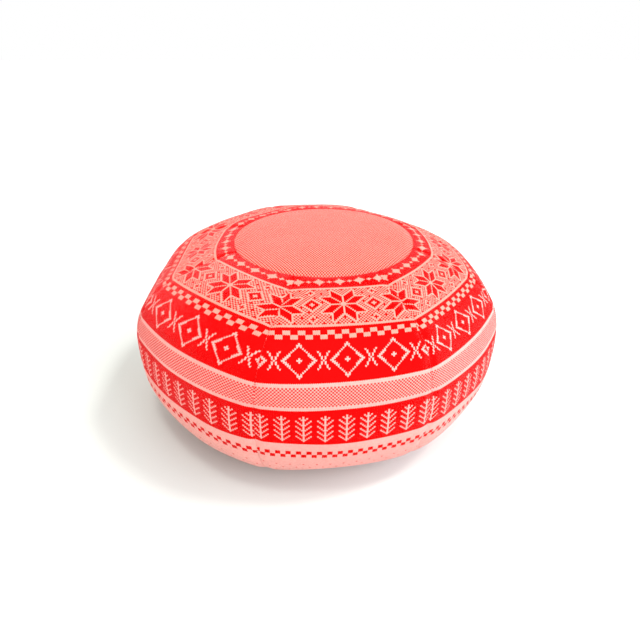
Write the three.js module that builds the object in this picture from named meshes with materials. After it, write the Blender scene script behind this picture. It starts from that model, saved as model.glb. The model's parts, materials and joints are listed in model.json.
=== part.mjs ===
// A round knitted pouf, firmly filled. A domed round panel closes the top and a flat one the base,
// and eight gores, sewn edge to edge, make the side. Each gore's solid is its knitted cloth with
// its share of the filling behind it, so that the eight together fill the pouf.
// Millimetres, +Z up. The origin is on the floor under the middle, and the front faces -Y.
import * as THREE from "three";

// Driving dimensions
const SEAM_RADIUS = 250; // middle to a side seam at the widest level
const CROWN_RISE = 135; // widest level up to the middle of the top
const FOOT_DROP = 123; // widest level down to the floor
const CROWN_POWER = 2.45; // above 2 is fuller than an ellipse
const FOOT_POWER = 2.45;
const CONTACT_RADIUS = 125; // the pouf's own weight flattens it to here
const PANEL_RADIUS = 116; // both round panels
const PANEL_THICKNESS = 3;
const GAP = 0.4; // between neighbouring pieces
const FLATNESS_AT_CROWN = 0.75; // 1 would be a straight-sided octagon, 0 a circle
const FLATNESS_AT_SIDE = 0.22;
const FLATTENED_FROM = 0.45; // share of the way from the top panel out, where that is reached
const SEAM_DEPTH = 2.2; // how far the sewing pulls a side seam in
const SEAM_SPREAD = 6; // how far from the seam the pull fades
const RING_SEAM_DEPTH = 1.6; // the same, at the round panels
const RING_SEAM_SPREAD = 7;
const BASE_SEAM_LIFT = 0.8; // how far the base panel's seam stays off the floor
const BASE_SEAM_SPREAD = 2.5;
const LEAN = new THREE.Vector2(10.5, -20); // the crown has settled off centre by this much

// The gores, round from the front towards +X. Each has the azimuth in degrees of its first seam,
// and how far it bulges out of the even section, or sinks below it, at its middle.
const GORES = [
  { seam: -15.5, crown: 5, foot: -4 },
  { seam: 30.3, crown: -2.5, foot: -1 },
  { seam: 72.5, crown: -3, foot: 0 },
  { seam: 116, crown: -7, foot: 0 },
  { seam: 160.5, crown: 9.5, foot: 0 },
  { seam: 204.5, crown: 9, foot: 0 },
  { seam: 248.5, crown: -4, foot: 5 },
  { seam: 293, crown: 12.5, foot: 2 },
];

// Fineness of the faces
const GORE_COLUMNS = 10;
const EDGE_CROWDING = 0.35; // draws the columns closer together near the seams
const CROWN_ROWS = 14; // from the top panel to the widest level
const CROWN_CROWDING = 1.15; // above 1 draws the rows towards the top panel
const FOOT_ROWS = 11; // from the widest level to the floor
const FOOT_CROWDING = 1.25; // above 1 draws the rows towards the floor
const PANEL_SEGMENTS = 64;
const PANEL_RINGS = [0, 0.22, 0.44, 0.64, 0.82, 0.93, 1]; // shares of the panel's radius
const SECTION_STEPS = 400;

const WALL_RADIUS = PANEL_RADIUS + GAP; // where a gore steps down under a round panel
const TIP_CLEARANCE = 1.01; // a gore's two sides meet this much further out than the gap asks

const KNIT_RED = { color: 0xe0322a, roughness: 0.95, metalness: 0 };
const KNIT_SALMON = { color: 0xf39a8c, roughness: 0.95, metalness: 0 };
const KNIT_PALE = { color: 0xf4c9bd, roughness: 0.95, metalness: 0 };

// The section from the middle of the top to the edge of the contact patch, as points with the
// radius r, the height z above the floor and the distance s along the section.
function sectionPoints() {
  const points = [];
  for (let i = 0; i <= SECTION_STEPS; i++) {
    const turn = (i / SECTION_STEPS) * Math.PI; // 0 at the top, a quarter at the widest level
    const crown = turn <= Math.PI / 2;
    const angle = crown ? Math.PI / 2 - turn : turn - Math.PI / 2;
    const power = 2 / (crown ? CROWN_POWER : FOOT_POWER);
    const across = Math.cos(angle) ** power;
    const along = Math.sin(angle) ** power;
    const inner = crown ? 0 : CONTACT_RADIUS;
    const r = inner + (SEAM_RADIUS - inner) * across;
    const z = FOOT_DROP + (crown ? CROWN_RISE : -FOOT_DROP) * along;
    const last = points.at(-1);
    const s = last ? last.s + Math.hypot(r - last.r, z - last.z) : 0;
    points.push({ r, z, s });
  }
  return points;
}

const SECTION = sectionPoints();
const EQUATOR_S = SECTION[SECTION_STEPS / 2].s;
const FLOOR_S = SECTION.at(-1).s;

// The section's point at distance s, with its outward normal.
function sectionAt(s) {
  let i = 1;
  while (i < SECTION_STEPS && SECTION[i].s < s) i++;
  const [a, b] = [SECTION[i - 1], SECTION[i]];
  const share = (s - a.s) / (b.s - a.s);
  const length = b.s - a.s;
  return {
    r: a.r + (b.r - a.r) * share,
    z: a.z + (b.z - a.z) * share,
    normalR: (a.z - b.z) / length,
    normalZ: (b.r - a.r) / length,
  };
}

// The distance along the crown at which the section reaches radius r.
function crownDistance(r) {
  let i = 1;
  while (SECTION[i].r < r) i++;
  const [a, b] = [SECTION[i - 1], SECTION[i]];
  return a.s + ((b.s - a.s) * (r - a.r)) / (b.r - a.r);
}

const RING_S = crownDistance(WALL_RADIUS);

const fade = (distance, spread) => Math.exp(-((distance / spread) ** 2));

// How much of a straight-sided octagon the level has: none at the ring seam, most on the crown.
function flatness(r, z) {
  const height = THREE.MathUtils.clamp((z - FOOT_DROP) / CROWN_RISE, 0, 1);
  const fromRing = THREE.MathUtils.clamp((r - WALL_RADIUS) / (SEAM_RADIUS - WALL_RADIUS), 0, 1);
  const grown = Math.min(1, fromRing / FLATTENED_FROM);
  return THREE.MathUtils.lerp(FLATNESS_AT_SIDE, FLATNESS_AT_CROWN, height) * Math.sqrt(grown);
}

// The settled crown stands off centre, more so with height.
function leanAt(z) {
  const height = Math.max(0, (z - FOOT_DROP) / CROWN_RISE);
  return LEAN.clone().multiplyScalar(height * height);
}

// The gore's middle and half its width, as angles about the axis.
function spread(gore) {
  const first = GORES[gore].seam;
  const next = gore + 1 < GORES.length ? GORES[gore + 1].seam : GORES[0].seam + 360;
  return {
    middle: THREE.MathUtils.degToRad((first + next) / 2),
    half: THREE.MathUtils.degToRad((next - first) / 2),
  };
}

// The point at an azimuth, a radius and a height, moved by the lean.
function place(azimuth, r, z) {
  const lean = leanAt(z);
  return new THREE.Vector3(r * Math.sin(azimuth) + lean.x, -r * Math.cos(azimuth) + lean.y, z);
}

// The bulge or dip at distance s along the section, turns gores round from the first one's middle.
// It blends from gore to gore, and is nothing at the widest level and at the round panels.
function swell(s, turns) {
  const k = Math.floor(turns);
  const blend = (1 - Math.cos(Math.PI * (turns - k))) / 2;
  const from = GORES.at(k % GORES.length);
  const to = GORES[(k + 1) % GORES.length];
  const part = s < EQUATOR_S ? "crown" : "foot";
  const [start, end] = s < EQUATOR_S ? [RING_S, EQUATOR_S] : [EQUATOR_S, FLOOR_S];
  const bell = Math.sin((Math.PI * (s - start)) / (end - start)) ** 2;
  return bell * THREE.MathUtils.lerp(from[part], to[part], blend);
}

// The outer cloth of the given gore at distance s along the section, and share -1 to 1 across it
// from seam to seam.
function clothPoint(gore, s, share) {
  const at = sectionAt(s);
  const { half } = spread(gore);
  const octagon = Math.cos(half) / Math.cos(share * half);
  const widened = at.r * (1 + flatness(at.r, at.z) * (octagon - 1));
  const toSeam = at.r * half * (1 - Math.abs(share));
  const seam = SEAM_DEPTH * fade(toSeam, SEAM_SPREAD);
  const ring = RING_SEAM_DEPTH * fade(s - RING_S, RING_SEAM_SPREAD);
  const pull = Math.max(seam, ring) - swell(s, gore + share / 2);
  return {
    r: Math.max(WALL_RADIUS, widened - at.normalR * pull),
    z: Math.max(0, at.z - at.normalZ * pull),
  };
}

// Where the cloth passes from the floor to the base panel, the ring seam lifts it a little.
const baseLift = (r) => BASE_SEAM_LIFT * fade(r - PANEL_RADIUS, BASE_SEAM_SPREAD);

// The height of the underside of the top panel, less depth, over radius r.
function underTopPanel(r, depth) {
  const at = sectionAt(r > 0 ? crownDistance(r) : 0);
  return at.z - depth;
}

// The gore's outline in rows from the axis at the top, over the cloth, to the axis at the base.
// A row tells where its point lies for a share across the gore.
function goreRows(gore) {
  const rows = [];
  const recess = PANEL_THICKNESS + GAP;
  for (const ring of PANEL_RINGS.slice(1, -1)) {
    const r = ring * PANEL_RADIUS;
    rows.push(() => ({ r, z: underTopPanel(r, recess) }));
  }
  rows.push(() => ({ r: WALL_RADIUS, z: underTopPanel(WALL_RADIUS, recess) }));
  for (let i = 0; i <= CROWN_ROWS; i++) {
    const s = THREE.MathUtils.lerp(RING_S, EQUATOR_S, (i / CROWN_ROWS) ** CROWN_CROWDING);
    rows.push((share) => clothPoint(gore, s, share));
  }
  for (let i = 1; i <= FOOT_ROWS; i++) {
    const s = THREE.MathUtils.lerp(EQUATOR_S, FLOOR_S, 1 - (1 - i / FOOT_ROWS) ** FOOT_CROWDING);
    rows.push((share) => clothPoint(gore, s, share));
  }
  rows.push(() => ({ r: WALL_RADIUS, z: baseLift(WALL_RADIUS) }));
  rows.push(() => ({ r: WALL_RADIUS, z: recess }));
  return rows;
}

// A closed mesh from a grid of rows between two tips on the axis, with a wall at each seam.
function goreGeometry(gore) {
  const { middle, half } = spread(gore);
  const tipRadius = (TIP_CLEARANCE * GAP) / 2 / Math.sin(half);
  const rows = goreRows(gore);
  const tips = [underTopPanel(0, PANEL_THICKNESS + GAP), PANEL_THICKNESS + GAP];
  const positions = [];
  const faces = [];
  const add = (azimuth, r, z) => positions.push(...place(azimuth, r, z).toArray()) / 3 - 1;
  const topTip = add(middle, tipRadius, tips[0]);
  for (const row of rows) {
    for (let j = 0; j <= GORE_COLUMNS; j++) {
      const even = (2 * j) / GORE_COLUMNS - 1;
      const share = THREE.MathUtils.lerp(even, Math.sin((even * Math.PI) / 2), EDGE_CROWDING);
      const { r, z } = row(share);
      add(middle + share * (half - Math.asin(GAP / 2 / r)), r, z);
    }
  }
  const baseTip = add(middle, tipRadius, tips[1]);
  const index = (i, j) => topTip + 1 + i * (GORE_COLUMNS + 1) + j;
  for (let j = 0; j < GORE_COLUMNS; j++) {
    faces.push(topTip, index(0, j), index(0, j + 1));
    for (let i = 0; i + 1 < rows.length; i++) {
      faces.push(index(i, j), index(i + 1, j), index(i + 1, j + 1));
      faces.push(index(i, j), index(i + 1, j + 1), index(i, j + 1));
    }
    faces.push(index(rows.length - 1, j + 1), index(rows.length - 1, j), baseTip);
  }
  for (const side of [-1, 1]) {
    const outline = [...rows.map((row) => row(side)), { r: tipRadius, z: tips[1] }];
    outline.unshift({ r: tipRadius, z: tips[0] });
    const column = side < 0 ? 0 : GORE_COLUMNS;
    const vertex = (k) => (k === 0 ? topTip : k > rows.length ? baseTip : index(k - 1, column));
    const contour = outline.map(({ r, z }) => new THREE.Vector2(r, z));
    for (const [a, b, c] of THREE.ShapeUtils.triangulateShape(contour, [])) {
      faces.push(vertex(a), vertex(side < 0 ? b : c), vertex(side < 0 ? c : b));
    }
  }
  const geometry = new THREE.BufferGeometry();
  geometry.setAttribute("position", new THREE.Float32BufferAttribute(positions, 3));
  geometry.setIndex(faces);
  geometry.computeVertexNormals();
  return geometry;
}

// A round panel turned about Z from its profile of [radius, height] pairs, base to top.
function turned(profile) {
  const points = profile.map(([r, z]) => new THREE.Vector2(r, z));
  return new THREE.LatheGeometry(points, PANEL_SEGMENTS).rotateX(Math.PI / 2);
}

// The domed top panel, one cloth thick, its edge drawn in by the ring seam.
function topPanelGeometry() {
  const drawn = (r) => RING_SEAM_DEPTH * fade(r - PANEL_RADIUS, RING_SEAM_SPREAD);
  const radii = PANEL_RINGS.map((share) => share * PANEL_RADIUS);
  const under = radii.map((r) => [r, underTopPanel(r, PANEL_THICKNESS)]);
  const upper = radii.map((r) => [r, underTopPanel(r, drawn(r))]).reverse();
  const geometry = turned([...under, ...upper]);
  const position = geometry.getAttribute("position");
  for (let i = 0; i < position.count; i++) {
    const lean = leanAt(position.getZ(i));
    position.setX(i, position.getX(i) + lean.x);
    position.setY(i, position.getY(i) + lean.y);
  }
  return geometry;
}

// The flat base panel, whose edge is lifted a little off the floor by its seam.
function basePanelGeometry() {
  const rim = PANEL_RADIUS - 2 * BASE_SEAM_SPREAD;
  return turned([
    [0, 0],
    [rim, 0],
    [PANEL_RADIUS, baseLift(PANEL_RADIUS)],
    [PANEL_RADIUS, PANEL_THICKNESS],
    [0, PANEL_THICKNESS],
  ]);
}

function piece(name, geometry, look) {
  const mesh = new THREE.Mesh(geometry, new THREE.MeshStandardMaterial(look));
  mesh.name = name;
  return mesh;
}

function pouf() {
  const group = new THREE.Group();
  group.add(piece("top_panel", topPanelGeometry(), KNIT_SALMON));
  for (let k = 0; k < GORES.length; k++) {
    group.add(piece(`side_gore_${k + 1}`, goreGeometry(k), KNIT_RED));
  }
  group.add(piece("base_panel", basePanelGeometry(), KNIT_PALE));
  return group;
}

export default pouf();
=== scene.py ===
"""A round, firmly filled pouf in two-colour jacquard knit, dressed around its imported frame.

A domed round panel closes the top and a flat one the base, and eight gores make the side. Every
panel is a mesh of single stitches, charted flat and then laid over the filled form. Metres, +Z up,
the origin on the floor under the middle, and the front faces -Y.
"""
import json
import logging
import math
from collections.abc import Callable, Sequence
from dataclasses import dataclass, field
from enum import IntEnum

import bpy
import numpy as np
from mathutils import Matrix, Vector
from mathutils.geometry import tessellate_polygon

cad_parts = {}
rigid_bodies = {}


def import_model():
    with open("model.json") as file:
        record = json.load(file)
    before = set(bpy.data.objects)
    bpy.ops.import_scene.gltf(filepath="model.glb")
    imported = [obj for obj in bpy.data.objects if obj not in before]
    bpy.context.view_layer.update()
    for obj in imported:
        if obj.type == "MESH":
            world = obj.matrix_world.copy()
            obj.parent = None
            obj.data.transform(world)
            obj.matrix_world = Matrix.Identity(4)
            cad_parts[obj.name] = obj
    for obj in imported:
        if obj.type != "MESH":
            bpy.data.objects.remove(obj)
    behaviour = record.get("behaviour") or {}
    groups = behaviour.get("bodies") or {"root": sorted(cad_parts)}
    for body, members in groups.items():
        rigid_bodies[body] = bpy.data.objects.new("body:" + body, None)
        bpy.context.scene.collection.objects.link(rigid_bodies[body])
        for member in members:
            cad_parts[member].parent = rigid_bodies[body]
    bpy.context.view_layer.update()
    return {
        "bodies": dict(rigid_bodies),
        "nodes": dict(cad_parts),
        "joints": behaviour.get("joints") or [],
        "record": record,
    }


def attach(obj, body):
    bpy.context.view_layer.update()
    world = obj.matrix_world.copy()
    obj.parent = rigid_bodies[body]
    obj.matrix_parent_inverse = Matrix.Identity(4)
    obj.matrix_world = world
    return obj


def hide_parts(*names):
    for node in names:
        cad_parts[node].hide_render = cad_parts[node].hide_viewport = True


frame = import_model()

MM = 0.001
WHOLE_TURN = 2 * math.pi
BODY = "root"
STITCH_HANG = 0.55  # how far the middle of a stitch's V hangs below its ends, in courses
HIDDEN_RINGS = (1, 0.93, 0.82, 0.64, 0.44, 0.22)  # of the faces inside, as shares of a panel's radius

Colour = tuple[float, float, float]
Face = tuple[int, ...]

log = logging.getLogger("pouf")


def new_mesh(name: str, points: np.ndarray, edges: list[tuple[int, int]],
             faces: list[Face]) -> bpy.types.Mesh:
    """Makes a mesh."""
    mesh = bpy.data.meshes.new(name)
    mesh.from_pydata(points.tolist(), edges, faces)
    return mesh


def new_object(name: str, data: bpy.types.ID) -> bpy.types.Object:
    """Makes an object of a mesh, a camera or a light, and puts it in the scene."""
    made = bpy.data.objects.new(name, data)
    bpy.context.scene.collection.objects.link(made)
    return made


def fade(distance: np.ndarray, spread: float) -> np.ndarray:
    """A soft bell, 1 at no distance, that has nearly gone at twice the spread."""
    return np.exp(-((distance / spread) ** 2))


@dataclass
class Section:
    """The outline of the filled pouf, from the middle of the top to the edge of its flat foot.

    The distance s runs along the cloth from the middle of the top.
    """

    seam_radius: float = 250 * MM
    crown_rise: float = 135 * MM  # from the widest level up
    foot_drop: float = 123 * MM  # from the widest level down
    fullness: float = 2.45  # 2 would be an ellipse
    contact_radius: float = 125 * MM
    panel_radius: float = 116 * MM
    wall_radius: float = 116.4 * MM  # where a gore steps down under a round panel
    steps: int = 400
    r: np.ndarray = field(init=False)
    z: np.ndarray = field(init=False)
    s: np.ndarray = field(init=False)
    ring_s: float = field(init=False)
    equator_s: float = field(init=False)
    floor_s: float = field(init=False)

    def __post_init__(self) -> None:
        """Works out the outline's points."""
        turn = np.linspace(0, math.pi, self.steps + 1)
        crown = np.arange(self.steps + 1) <= self.steps // 2
        angle = np.where(crown, math.pi / 2 - turn, turn - math.pi / 2)
        across = np.cos(angle).clip(0) ** (2 / self.fullness)
        along = np.sin(angle).clip(0) ** (2 / self.fullness)
        inner = np.where(crown, 0, self.contact_radius)
        self.r = inner + (self.seam_radius - inner) * across
        self.z = self.foot_drop + np.where(crown, self.crown_rise, -self.foot_drop) * along
        steps = np.hypot(np.diff(self.r), np.diff(self.z))
        self.s = np.concatenate([[0], np.cumsum(steps)])
        self.equator_s = float(self.s[self.steps // 2])
        self.floor_s = float(self.s[-1])
        self.ring_s = self.crown_distance(self.wall_radius)

    def crown_distance(self, radius: float) -> float:
        """The distance s at which the crown reaches a radius."""
        half = self.steps // 2 + 1
        return float(np.interp(radius, self.r[:half], self.s[:half]))

    def at(self, s: np.ndarray) -> tuple[np.ndarray, np.ndarray, np.ndarray, np.ndarray]:
        """Looks up the outline.

        Args:
            s: distances along it.

        Returns:
            The radius, the height, and the radial and upward parts of the outward normal.
        """
        lengths = np.diff(self.s)
        middles = (self.s[1:] + self.s[:-1]) / 2
        normal_r = np.interp(s, middles, -np.diff(self.z) / lengths)
        normal_z = np.interp(s, middles, np.diff(self.r) / lengths)
        return np.interp(s, self.s, self.r), np.interp(s, self.s, self.z), normal_r, normal_z


@dataclass(frozen=True)
class GoreCut:
    """How one gore differs from the even form.

    Attributes:
        seam: azimuth in degrees of its first seam, from the front towards +X.
        crown: how far it bulges above the widest level, or sinks if negative.
        foot: the same below the widest level.
        shift: wales by which its chart is off the middle, because it was cut a little to a side.
    """

    seam: float
    crown: float
    foot: float
    shift: int


GORE_CUTS = (
    GoreCut(-15.5, 5 * MM, -4 * MM, 0),
    GoreCut(30.3, -2.5 * MM, -1 * MM, 2),
    GoreCut(72.5, -3 * MM, 0, -3),
    GoreCut(116, -7 * MM, 0, 4),
    GoreCut(160.5, 9.5 * MM, 0, -2),
    GoreCut(204.5, 9 * MM, 0, 3),
    GoreCut(248.5, -4 * MM, 5 * MM, -4),
    GoreCut(293, 12.5 * MM, 2 * MM, -2),
)


@dataclass
class Drift:
    """How far the filling has moved the cloth from its cut form, on a net round the pouf.

    Attributes:
        rows: the distances s of the net's rows.
        moves: by row, by column round from the first seam, and by axis.
    """

    rows: np.ndarray
    moves: np.ndarray

    def at(self, s: np.ndarray, turns: np.ndarray) -> np.ndarray:
        """Looks up the move.

        Args:
            s: distances along the section.
            turns: gores round from the first seam.

        Returns:
            The moves, blended between the net's points.
        """
        columns = self.moves.shape[1]
        row = np.interp(s, self.rows, np.arange(len(self.rows)))
        column = turns * columns / len(GORE_CUTS)
        above = np.floor(row).astype(int).clip(0, len(self.rows) - 2)
        left = np.floor(column).astype(int)
        down, across = (row - above)[..., None], (column - left)[..., None]
        left, right = left % columns, (left + 1) % columns
        upper = self.moves[above, left] * (1 - across) + self.moves[above, right] * across
        lower = self.moves[above + 1, left] * (1 - across) + self.moves[above + 1, right] * across
        return upper * (1 - down) + lower * down


@dataclass
class Cover:
    """Where the cloth of each gore and panel lies on the filled pouf."""

    section: Section
    cuts: tuple[GoreCut, ...] = GORE_CUTS
    flatness_at_crown: float = 0.75  # 1 would be a straight-sided octagon, 0 a circle
    flatness_at_side: float = 0.22
    flattened_from: float = 0.45  # share of the way out from the top panel
    seam_depth: float = 2.2 * MM
    seam_spread: float = 6 * MM
    pucker: float = 0.16  # how much deeper or shallower a seam is where the thread gathers it
    pucker_lengths: tuple[float, float] = (15 * MM, 37 * MM)
    pucker_phase: float = 2.1  # radians from one seam to the next, so that no two gather alike
    ring_seam_depth: float = 1.6 * MM
    ring_seam_spread: float = 7 * MM
    base_seam_lift: float = 0.8 * MM
    base_seam_spread: float = 2.5 * MM
    gap: float = 0.12 * MM
    lean: tuple[float, float] = (10.5 * MM, -20 * MM)  # the crown has settled off centre
    drift: Drift | None = None

    def spread(self, gore: int) -> tuple[float, float]:
        """The azimuth of a gore's middle and half its width, in radians."""
        first = self.cuts[gore].seam
        last = self.cuts[gore + 1].seam if gore + 1 < len(self.cuts) else self.cuts[0].seam + 360
        return math.radians((first + last) / 2), math.radians((last - first) / 2)

    def half_width(self, s: np.ndarray) -> np.ndarray:
        """Half the width of an average gore laid flat, at distances s."""
        return self.section.at(s)[0] * math.pi / len(self.cuts)

    def flatness(self, r: np.ndarray, z: np.ndarray) -> np.ndarray:
        """How much of a straight-sided octagon the form has at a radius and height."""
        section = self.section
        height = ((z - section.foot_drop) / section.crown_rise).clip(0, 1)
        out = (r - section.wall_radius) / (section.seam_radius - section.wall_radius)
        most = self.flatness_at_side + (self.flatness_at_crown - self.flatness_at_side) * height
        return most * np.sqrt((out.clip(0, 1) / self.flattened_from).clip(0, 1))

    def swell(self, s: np.ndarray, turns: np.ndarray) -> np.ndarray:
        """The bulge or dip, blended from gore to gore.

        Args:
            s: distances along the section.
            turns: gores round from the middle of the first one.

        Returns:
            How far the cloth stands out; nothing at the widest level and at the round panels.
        """
        section = self.section
        whole = np.floor(turns).astype(int)
        blend = (1 - np.cos(math.pi * (turns - whole))) / 2
        above = s < section.equator_s
        start = np.where(above, section.ring_s, section.equator_s)
        end = np.where(above, section.equator_s, section.floor_s)
        bell = np.sin(math.pi * (s - start) / (end - start)) ** 2
        swells = np.array([(cut.crown, cut.foot) for cut in self.cuts])
        part = np.where(above, 0, 1)
        before = swells[whole % len(self.cuts), part]
        after = swells[(whole + 1) % len(self.cuts), part]
        return bell * (before + (after - before) * blend)

    def shift(self, z: np.ndarray) -> tuple[np.ndarray, np.ndarray]:
        """How far the lean of the settled crown moves the cloth at a height."""
        share = ((z - self.section.foot_drop) / self.section.crown_rise).clip(0, None) ** 2
        return self.lean[0] * share, self.lean[1] * share

    def place(self, azimuth: np.ndarray, r: np.ndarray, z: np.ndarray) -> np.ndarray:
        """Points from azimuth, radius and height, with the lean."""
        shift_x, shift_y = self.shift(z)
        return np.stack([r * np.sin(azimuth) + shift_x, shift_y - r * np.cos(azimuth), z], axis=-1)

    def radius(self, points: np.ndarray) -> np.ndarray:
        """The radius of points, with the lean undone."""
        shift_x, shift_y = self.shift(points[:, 2])
        return np.hypot(points[:, 0] - shift_x, points[:, 1] - shift_y)

    def gathered(self, seam: np.ndarray, s: np.ndarray) -> np.ndarray:
        """How deep a seam is at distances s, as a share of the usual depth."""
        phase = self.pucker_phase * (seam % len(self.cuts))
        fine, coarse = (np.sin(WHOLE_TURN * s / length + phase) for length in self.pucker_lengths)
        return 1 + self.pucker * (fine + coarse)

    def turns(self, azimuth: np.ndarray) -> np.ndarray:
        """Gores round from the first seam, at azimuths in radians."""
        seams = np.radians([cut.seam for cut in self.cuts] + [self.cuts[0].seam + 360])
        wrapped = (azimuth - seams[0]) % WHOLE_TURN + seams[0]
        return np.interp(wrapped, seams, np.arange(len(seams)))

    def settled(self, points: np.ndarray, s: np.ndarray, turns: np.ndarray) -> np.ndarray:
        """Points of the outer cloth, moved as the filling has moved it."""
        if self.drift is not None:
            points = points + self.drift.at(s, turns)
            points[..., 2] = points[..., 2].clip(0)
        return points

    def on_gore(self, gore: int, s: np.ndarray, share: np.ndarray) -> np.ndarray:
        """The outer cloth of a gore.

        Args:
            gore: which one, from 0.
            s: distances along the section.
            share: -1 at its first seam to 1 at its second.

        Returns:
            The points, one for each distance.
        """
        r, z, normal_r, normal_z = self.section.at(s)
        middle, half = self.spread(gore)
        octagon = math.cos(half) / np.cos(share * half)
        widened = r * (1 + self.flatness(r, z) * (octagon - 1))
        depth = self.seam_depth * self.gathered(gore + (share > 0), s)
        seam = depth * fade(r * half * (1 - np.abs(share)), self.seam_spread)
        ring = self.ring_seam_depth * fade(s - self.section.ring_s, self.ring_seam_spread)
        pull = np.maximum(seam, ring) - self.swell(s, gore + share / 2)
        r = np.maximum(self.section.wall_radius, widened - normal_r * pull)
        z = np.maximum(0, z - normal_z * pull)
        points = self.place(middle + share * (half - np.arcsin(self.gap / 2 / r)), r, z)
        return self.settled(points, s, gore + (share + 1) / 2)

    def on_top(self, across: np.ndarray, down: np.ndarray, under: float = 0) -> np.ndarray:
        """The top panel's cloth from its flat coordinates, or points that far under it."""
        section = self.section
        distance = np.hypot(across, down)
        r, z, _, _ = section.at(distance)
        drawn = self.ring_seam_depth * fade(r - section.panel_radius, self.ring_seam_spread)
        azimuth = np.arctan2(across, down)
        points = self.settled(self.place(azimuth, r, z - drawn), distance, self.turns(azimuth))
        return points - np.array([0, 0, under])

    def under_top(self, gore: int, share: np.ndarray, r: float, depth: float) -> np.ndarray:
        """Points of a gore under the top panel, at a radius and a depth below the dome."""
        middle, half = self.spread(gore)
        z = float(self.section.at(np.array(self.section.crown_distance(r)))[1]) - depth
        azimuth = middle + share * (half - math.asin(min(1, self.gap / 2 / r)))
        return self.place(azimuth, np.full_like(share, r), np.full_like(share, z))

    def base_lift(self, r: np.ndarray) -> np.ndarray:
        """How far the base panel's seam lifts the cloth off the floor at a radius."""
        return self.base_seam_lift * fade(r - self.section.panel_radius, self.base_seam_spread)


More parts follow.
